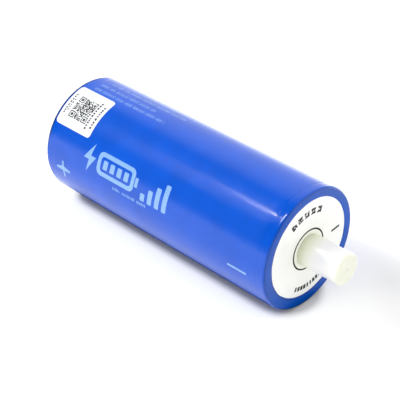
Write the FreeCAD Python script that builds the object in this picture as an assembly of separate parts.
import FreeCAD, Part
import math
import os

# A large cylindrical lithium-titanate cell, the 66 mm by 160 mm format, lying on its side.
# The origin is the cell's centre on its axis. +X points to the negative terminal and +Z is up.
# Everything round is drawn as an outline of (x, radius) corners and turned about the X axis.
# The end hardware is drawn once, at the negative end, and mirrored for the positive end.
# Lengths are in millimetres and angles in degrees.

# ---- body ----
BODY_LENGTH = 160.0
BODY_RADIUS = 33.35
SLEEVE_WALL = 0.35
SLEEVE_CORNER = 1.2
SLEEVE_LIP_RADIUS = 27.4
CAN_WALL = 0.6
CAN_EDGE = 0.4
COVER_THICKNESS = 2.0
COVER_GAP = 0.02
LABEL_THICKNESS = 0.5
LABEL_RADIUS = 32.0
LABEL_HOLE_RADIUS = 11.4

# ---- terminal ----
STUD_RADIUS = 6.0
STUD_CHAMFER = 1.0
STUD_END = 101.5
THREAD_RELIEF_RADIUS = 5.8
NECK_RADIUS = 6.6
FLANGE_RADIUS = 14.0
FLANGE_THICKNESS = 4.0
FLANGE_EDGE = 0.5
COVER_HOLE_RADIUS = 9.0
SEAL_THICKNESS = 1.0
SEAL_INNER_RADIUS = 8.0
SEAL_OUTER_RADIUS = 13.5
SEAL_EDGE = 0.3
BUSH_FLANGE_RADIUS = 16.0
BUSH_FLANGE_THICKNESS = 1.5
FIT_GAP = 0.05
RING_RADIUS = 11.0
RING_THICKNESS = 0.6
RING_EDGE = 0.25
NUT_RADIUS = 7.8
NUT_HEIGHT = 4.6
NUT_EDGE = 0.3
NUT_SLOTS = 4
NUT_SLOT_WIDTH = 2.4
NUT_SLOT_DEPTH = 0.7

# ---- push-on terminal cap ----
CAP_RADIUS = 8.5
CAP_END = 104.0
CAP_SEAT_GAP = 0.1
CAP_GRIP_RADIUS = 7.86
CAP_BORE_RADIUS = 7.1
CAP_END_WALL = 1.4
CAP_EDGE = 0.8
CAP_MOUTH_OUTER_EDGE = 0.3
CAP_MOUTH_INNER_EDGE = 0.2
CAP_BORE_EDGE = 0.4
GATE_RADIUS = 1.3
GATE_DEPTH = 0.35
GATE_TAPER = 0.2
GATE_EDGE = 0.1

# ---- current collectors and inner plates ----
COLLECTOR_THICKNESS = 1.5
COLLECTOR_RADIUS = 28.0
COLLECTOR_HOLES = 8
COLLECTOR_HOLE_RADIUS = 3.2
COLLECTOR_HOLE_CIRCLE = 20.5
COLLECTOR_CENTRE_HOLE_RADIUS = 3.5
PLATE_THICKNESS = 1.2
PLATE_GAP = 0.2

# ---- wound roll ----
ROLL_HALF_WIDTH = 65.5
SEPARATOR_OVERHANG = 1.0
CORE_INNER_RADIUS = 3.5
CORE_OUTER_RADIUS = 4.5
ROLL_START_RADIUS = 5.0
ELECTRODE_THICKNESS = 0.55
SEPARATOR_THICKNESS = 0.12
LAYER_GAP = 0.015
HALF_TURNS = 36
WRAP_INNER_RADIUS = 31.5
WRAP_THICKNESS = 0.3

# ---- vent and fill port, each on its own cover ----
PORT_CIRCLE = 21.5
VENT_HOLE_RADIUS = 4.2
VENT_STEP_RADIUS = 5.2
VENT_STEP_DEPTH = 0.6
VENT_DISC_THICKNESS = 0.3
SCORE_INNER_RADIUS = 3.1
SCORE_OUTER_RADIUS = 3.4
SCORE_DEPTH = 0.12
FILL_HOLE_RADIUS = 1.5
FILL_STEP_RADIUS = 3.0
FILL_STEP_DEPTH = 0.6
FILL_PIN_LENGTH = 1.2
PORT_WINDOW_RADIUS = 4.5

# ---- code sticker on the sleeve ----
STICKER_CENTRE_X = -64.15
STICKER_LENGTH = 26.9
STICKER_WIDTH = 24.6
STICKER_CORNER = 2.0
STICKER_ANGLE = 57.6
STICKER_THICKNESS = 0.1

# ---- planes along the axis at the negative end, from the outside inwards ----
END_X = BODY_LENGTH / 2
LABEL_TOP_X = END_X - SLEEVE_WALL
COVER_TOP_X = LABEL_TOP_X - LABEL_THICKNESS
COVER_BOTTOM_X = COVER_TOP_X - COVER_THICKNESS
BUSH_BOTTOM_X = COVER_BOTTOM_X - BUSH_FLANGE_THICKNESS
FLANGE_TOP_X = BUSH_BOTTOM_X - SEAL_THICKNESS
FLANGE_BOTTOM_X = FLANGE_TOP_X - FLANGE_THICKNESS
COLLECTOR_BOTTOM_X = FLANGE_BOTTOM_X - COLLECTOR_THICKNESS
RING_TOP_X = COVER_TOP_X + RING_THICKNESS
NUT_TOP_X = RING_TOP_X + NUT_HEIGHT

CAN_RADIUS = BODY_RADIUS - SLEEVE_WALL
CAN_BORE_RADIUS = CAN_RADIUS - CAN_WALL

ORIGIN = FreeCAD.Vector(0, 0, 0)
AXIS = FreeCAD.Vector(1, 0, 0)


def rounded_outline(corners):
    """A closed wire through (x, radius, rounding) corners. A rounding of 0 leaves a corner sharp."""
    starts = []
    ends = []
    middles = []
    for i, (x, radius, rounding) in enumerate(corners):
        corner = FreeCAD.Vector(x, radius, 0)
        before = FreeCAD.Vector(corners[i - 1][0], corners[i - 1][1], 0) - corner
        after_point = corners[(i + 1) % len(corners)]
        after = FreeCAD.Vector(after_point[0], after_point[1], 0) - corner
        before.normalize()
        after.normalize()
        half_angle = before.getAngle(after) / 2
        reach = rounding / math.tan(half_angle)
        inwards = before + after
        if rounding:
            inwards.normalize()
        starts.append(corner + before * reach)
        ends.append(corner + after * reach)
        middles.append(corner + inwards * (rounding / math.sin(half_angle) - rounding))
    edges = []
    for i, corner in enumerate(corners):
        if corner[2]:
            edges.append(Part.Arc(starts[i], middles[i], ends[i]).toShape())
        edges.append(Part.LineSegment(ends[i], starts[(i + 1) % len(corners)]).toShape())
    return Part.Wire(edges)


def turned(corners):
    """A solid of revolution about the cell's axis. Corners are (x, radius) or (x, radius, rounding)."""
    full = [corner if len(corner) == 3 else (corner[0], corner[1], 0) for corner in corners]
    return Part.Face(rounded_outline(full)).revolve(ORIGIN, AXIS, 360)


def ring(x_low, x_high, inner_radius, outer_radius):
    """A plain turned ring or, with an inner radius of 0, a disc."""
    return turned([
        (x_low, inner_radius),
        (x_high, inner_radius),
        (x_high, outer_radius),
        (x_low, outer_radius),
    ])


def rod(x_low, x_high, radius, off_axis=0.0, angle=90.0):
    """A cylinder along X whose centre lies off_axis from the cell's axis, at an angle above +Y."""
    y = off_axis * math.cos(math.radians(angle))
    z = off_axis * math.sin(math.radians(angle))
    return Part.makeCylinder(radius, x_high - x_low, FreeCAD.Vector(x_low, y, z), AXIS)


def mirrored(shape):
    """The same piece at the positive end."""
    return shape.mirror(ORIGIN, AXIS)


def sleeve():
    """Heat-shrink sleeve with both ends turned in over the end labels."""
    inner_corner = SLEEVE_CORNER - SLEEVE_WALL
    inside_x = END_X - SLEEVE_WALL
    return turned([
        (-END_X, SLEEVE_LIP_RADIUS),
        (-END_X, BODY_RADIUS, SLEEVE_CORNER),
        (END_X, BODY_RADIUS, SLEEVE_CORNER),
        (END_X, SLEEVE_LIP_RADIUS),
        (inside_x, SLEEVE_LIP_RADIUS),
        (inside_x, CAN_RADIUS, inner_corner),
        (-inside_x, CAN_RADIUS, inner_corner),
        (-inside_x, SLEEVE_LIP_RADIUS),
    ])


def can():
    """Tube that both covers are welded into, flush with its ends."""
    return turned([
        (-COVER_TOP_X, CAN_BORE_RADIUS),
        (-COVER_TOP_X, CAN_RADIUS, CAN_EDGE),
        (COVER_TOP_X, CAN_RADIUS, CAN_EDGE),
        (COVER_TOP_X, CAN_BORE_RADIUS),
    ])


def blank_cover():
    """Round cover with the terminal's hole, before its port is cut."""
    return ring(COVER_BOTTOM_X, COVER_TOP_X, COVER_HOLE_RADIUS, CAN_BORE_RADIUS - COVER_GAP)


def cover_with_port(hole_radius, step_radius, step_depth):
    """Cover with one stepped hole through it, halfway out from the terminal."""
    hole = rod(COVER_BOTTOM_X, COVER_TOP_X, hole_radius, PORT_CIRCLE)
    step = rod(COVER_TOP_X - step_depth, COVER_TOP_X, step_radius, PORT_CIRCLE)
    return blank_cover().cut(hole).cut(step)


def vent_disc():
    """Thin scored burst disc on the step of the vent hole."""
    bottom = COVER_TOP_X - VENT_STEP_DEPTH
    top = bottom + VENT_DISC_THICKNESS
    disc = rod(bottom, top, VENT_STEP_RADIUS - FIT_GAP, PORT_CIRCLE)
    outside_score = rod(top - SCORE_DEPTH, top, SCORE_OUTER_RADIUS, PORT_CIRCLE)
    inside_score = rod(top - SCORE_DEPTH, top, SCORE_INNER_RADIUS, PORT_CIRCLE)
    return disc.cut(outside_score.cut(inside_score))


def fill_plug():
    """Mushroom plug that seals the electrolyte fill hole."""
    bottom = COVER_TOP_X - FILL_STEP_DEPTH
    head = rod(bottom, COVER_TOP_X, FILL_STEP_RADIUS - FIT_GAP, PORT_CIRCLE)
    pin = rod(bottom - FILL_PIN_LENGTH, bottom, FILL_HOLE_RADIUS - FIT_GAP, PORT_CIRCLE)
    return head.fuse(pin).removeSplitter()


def end_label():
    """White insulating ring on the cover, with its edge under the sleeve's lip."""
    return ring(COVER_TOP_X, LABEL_TOP_X, LABEL_HOLE_RADIUS, LABEL_RADIUS)


def pole():
    """Terminal pole: flange inside the cell, neck through the cover and M12 stud outside."""
    return turned([
        (FLANGE_BOTTOM_X, 0),
        (FLANGE_BOTTOM_X, FLANGE_RADIUS, FLANGE_EDGE),
        (FLANGE_TOP_X, FLANGE_RADIUS, FLANGE_EDGE),
        (FLANGE_TOP_X, NECK_RADIUS),
        (LABEL_TOP_X, NECK_RADIUS),
        (LABEL_TOP_X, THREAD_RELIEF_RADIUS),
        (NUT_TOP_X, THREAD_RELIEF_RADIUS),
        (NUT_TOP_X, STUD_RADIUS),
        (STUD_END - STUD_CHAMFER, STUD_RADIUS),
        (STUD_END, STUD_RADIUS - STUD_CHAMFER),
        (STUD_END, 0),
    ])


def seal_ring():
    """Rubber gasket squeezed between the pole's flange and the inner bush."""
    return turned([
        (FLANGE_TOP_X, SEAL_INNER_RADIUS, SEAL_EDGE),
        (BUSH_BOTTOM_X, SEAL_INNER_RADIUS, SEAL_EDGE),
        (BUSH_BOTTOM_X, SEAL_OUTER_RADIUS, SEAL_EDGE),
        (FLANGE_TOP_X, SEAL_OUTER_RADIUS, SEAL_EDGE),
    ])


def inner_insulator():
    """Flanged bush that keeps the pole off the cover, from inside the cell."""
    bore = NECK_RADIUS + FIT_GAP
    return turned([
        (BUSH_BOTTOM_X, bore),
        (COVER_TOP_X, bore),
        (COVER_TOP_X, COVER_HOLE_RADIUS - FIT_GAP),
        (COVER_BOTTOM_X, COVER_HOLE_RADIUS - FIT_GAP),
        (COVER_BOTTOM_X, BUSH_FLANGE_RADIUS),
        (BUSH_BOTTOM_X, BUSH_FLANGE_RADIUS),
    ])


def outer_insulator():
    """Plastic ring on the cover, under the clamp nut."""
    bore = NECK_RADIUS + FIT_GAP
    return turned([
        (COVER_TOP_X, bore),
        (RING_TOP_X, bore),
        (RING_TOP_X, RING_RADIUS, RING_EDGE),
        (COVER_TOP_X, RING_RADIUS),
    ])


def clamp_nut():
    """Round slotted nut that pulls the pole's flange up against its seal."""
    nut = turned([
        (RING_TOP_X, THREAD_RELIEF_RADIUS + FIT_GAP),
        (NUT_TOP_X, THREAD_RELIEF_RADIUS + FIT_GAP),
        (NUT_TOP_X, NUT_RADIUS, NUT_EDGE),
        (RING_TOP_X, NUT_RADIUS, NUT_EDGE),
    ])
    slot = Part.makeBox(
        NUT_HEIGHT,
        NUT_SLOT_DEPTH * 2,
        NUT_SLOT_WIDTH,
        FreeCAD.Vector(RING_TOP_X, NUT_RADIUS - NUT_SLOT_DEPTH, -NUT_SLOT_WIDTH / 2),
    )
    for i in range(NUT_SLOTS):
        turned_slot = slot.copy()
        turned_slot.rotate(ORIGIN, AXIS, 360 * i / NUT_SLOTS)
        nut = nut.cut(turned_slot)
    return nut


def cap():
    """Soft translucent cap: grips the clamp nut, clears the stud and has a gate mark on its end."""
    seat_x = RING_TOP_X + CAP_SEAT_GAP
    shoulder_x = NUT_TOP_X + 2 * CAP_SEAT_GAP
    return turned([
        (seat_x, CAP_GRIP_RADIUS, CAP_MOUTH_INNER_EDGE),
        (seat_x, CAP_RADIUS, CAP_MOUTH_OUTER_EDGE),
        (CAP_END, CAP_RADIUS, CAP_EDGE),
        (CAP_END, GATE_RADIUS, GATE_EDGE),
        (CAP_END - GATE_DEPTH, GATE_RADIUS - GATE_TAPER, GATE_EDGE),
        (CAP_END - GATE_DEPTH, 0),
        (CAP_END - CAP_END_WALL, 0),
        (CAP_END - CAP_END_WALL, CAP_BORE_RADIUS, CAP_BORE_EDGE),
        (shoulder_x, CAP_BORE_RADIUS),
        (shoulder_x, CAP_GRIP_RADIUS),
    ])


def collector():
    """Current collector: a perforated disc welded to the roll's bare foil edge and to the pole's flange."""
    disc = ring(COLLECTOR_BOTTOM_X, FLANGE_BOTTOM_X, COLLECTOR_CENTRE_HOLE_RADIUS, COLLECTOR_RADIUS)
    for i in range(COLLECTOR_HOLES):
        angle = 360 * (i + 0.5) / COLLECTOR_HOLES
        hole = rod(COLLECTOR_BOTTOM_X, FLANGE_BOTTOM_X, COLLECTOR_HOLE_RADIUS, COLLECTOR_HOLE_CIRCLE, angle)
        disc = disc.cut(hole)
    return disc


def insulating_plate():
    """Plastic plate under the cover, with a window below the cover's port."""
    top = COVER_BOTTOM_X
    plate = ring(
        top - PLATE_THICKNESS, top, BUSH_FLANGE_RADIUS + PLATE_GAP, CAN_BORE_RADIUS - PLATE_GAP
    )
    return plate.cut(rod(top - PLATE_THICKNESS, top, PORT_WINDOW_RADIUS, PORT_CIRCLE))


def spiral_side(start_radius, pitch):
    """Edges of one side of a wound strip, half a turn each, from the core outwards.

    Half turns above the axis are centred a quarter pitch to one side and those below it a quarter
    pitch to the other, so that each runs smoothly into the next and the spacing stays constant.
    """
    edges = []
    for i in range(HALF_TURNS):
        side = 1 if i % 2 == 0 else -1
        centre_y = -side * pitch / 4
        radius = start_radius + i * pitch / 2
        start = FreeCAD.Vector(0, centre_y + side * radius, 0)
        middle = FreeCAD.Vector(0, centre_y, side * radius)
        end = FreeCAD.Vector(0, centre_y - side * radius, 0)
        edges.append(Part.Arc(start, middle, end).toShape())
    return edges


def wound_strip(layer_offset, thickness, x_low, x_high):
    """One layer of the roll: a strip of the given thickness, wound on the core."""
    pitch = 2 * (ELECTRODE_THICKNESS + SEPARATOR_THICKNESS + 2 * LAYER_GAP)
    inner = spiral_side(ROLL_START_RADIUS + layer_offset, pitch)
    outer = spiral_side(ROLL_START_RADIUS + layer_offset + thickness, pitch)
    inside_end = Part.LineSegment(inner[0].Vertexes[0].Point, outer[0].Vertexes[0].Point).toShape()
    outside_end = Part.LineSegment(inner[-1].Vertexes[-1].Point, outer[-1].Vertexes[-1].Point).toShape()
    wire = Part.Wire(Part.__sortEdges__(inner + [outside_end] + outer + [inside_end]))
    face = Part.Face(wire)
    face.translate(FreeCAD.Vector(x_low, 0, 0))
    return face.extrude(FreeCAD.Vector(x_high - x_low, 0, 0))


def wound_roll():
    """The four strips of the roll. Each electrode's bare edge reaches the collector at its own end."""
    step = LAYER_GAP
    inner_separator = ELECTRODE_THICKNESS + step
    cathode = inner_separator + SEPARATOR_THICKNESS + step
    outer_separator = cathode + ELECTRODE_THICKNESS + step
    separator_end = ROLL_HALF_WIDTH + SEPARATOR_OVERHANG
    return {
        "anode_strip": wound_strip(0, ELECTRODE_THICKNESS, -ROLL_HALF_WIDTH, COLLECTOR_BOTTOM_X),
        "inner_separator": wound_strip(inner_separator, SEPARATOR_THICKNESS, -separator_end, separator_end),
        "cathode_strip": wound_strip(cathode, ELECTRODE_THICKNESS, -COLLECTOR_BOTTOM_X, ROLL_HALF_WIDTH),
        "outer_separator": wound_strip(outer_separator, SEPARATOR_THICKNESS, -separator_end, separator_end),
    }


def winding_core():
    """Tube that the roll is wound on."""
    half = ROLL_HALF_WIDTH + SEPARATOR_OVERHANG
    return ring(-half, half, CORE_INNER_RADIUS, CORE_OUTER_RADIUS)


def roll_wrap():
    """Film around the finished roll, inside the can."""
    half = ROLL_HALF_WIDTH + SEPARATOR_OVERHANG
    return ring(-half, half, WRAP_INNER_RADIUS, WRAP_INNER_RADIUS + WRAP_THICKNESS)


def sticker():
    """Thin rounded sticker bent round the sleeve near the positive end, facing up and to the front."""
    left = STICKER_CENTRE_X - STICKER_LENGTH / 2
    right = STICKER_CENTRE_X + STICKER_LENGTH / 2
    half = STICKER_WIDTH / 2
    flat = rounded_outline([
        (left, -half, STICKER_CORNER),
        (right, -half, STICKER_CORNER),
        (right, half, STICKER_CORNER),
        (left, half, STICKER_CORNER),
    ])
    block = Part.Face(flat).extrude(FreeCAD.Vector(0, 0, BODY_RADIUS + 1))
    block.rotate(ORIGIN, AXIS, 90 - STICKER_ANGLE)
    return block.common(ring(left, right, BODY_RADIUS, BODY_RADIUS + STICKER_THICKNESS))


def model():
    """Every piece of the cell by node name."""
    pieces = {
        "sleeve": sleeve(),
        "can": can(),
        "negative_cover": cover_with_port(FILL_HOLE_RADIUS, FILL_STEP_RADIUS, FILL_STEP_DEPTH),
        "positive_cover": mirrored(cover_with_port(VENT_HOLE_RADIUS, VENT_STEP_RADIUS, VENT_STEP_DEPTH)),
        "fill_plug": fill_plug(),
        "vent_disc": mirrored(vent_disc()),
        "winding_core": winding_core(),
        "roll_wrap": roll_wrap(),
        "sticker": sticker(),
    }
    pieces.update(wound_roll())
    end_pieces = {
        "end_label": end_label(),
        "pole": pole(),
        "seal_ring": seal_ring(),
        "inner_insulator": inner_insulator(),
        "outer_insulator": outer_insulator(),
        "clamp_nut": clamp_nut(),
        "cap": cap(),
        "collector": collector(),
        "insulating_plate": insulating_plate(),
    }
    for name, shape in end_pieces.items():
        pieces["negative_" + name] = shape
        pieces["positive_" + name] = mirrored(shape)
    return pieces


os.makedirs("parts", exist_ok=True)
for node, shape in model().items():
    shape.exportStep("parts/" + node + ".step")
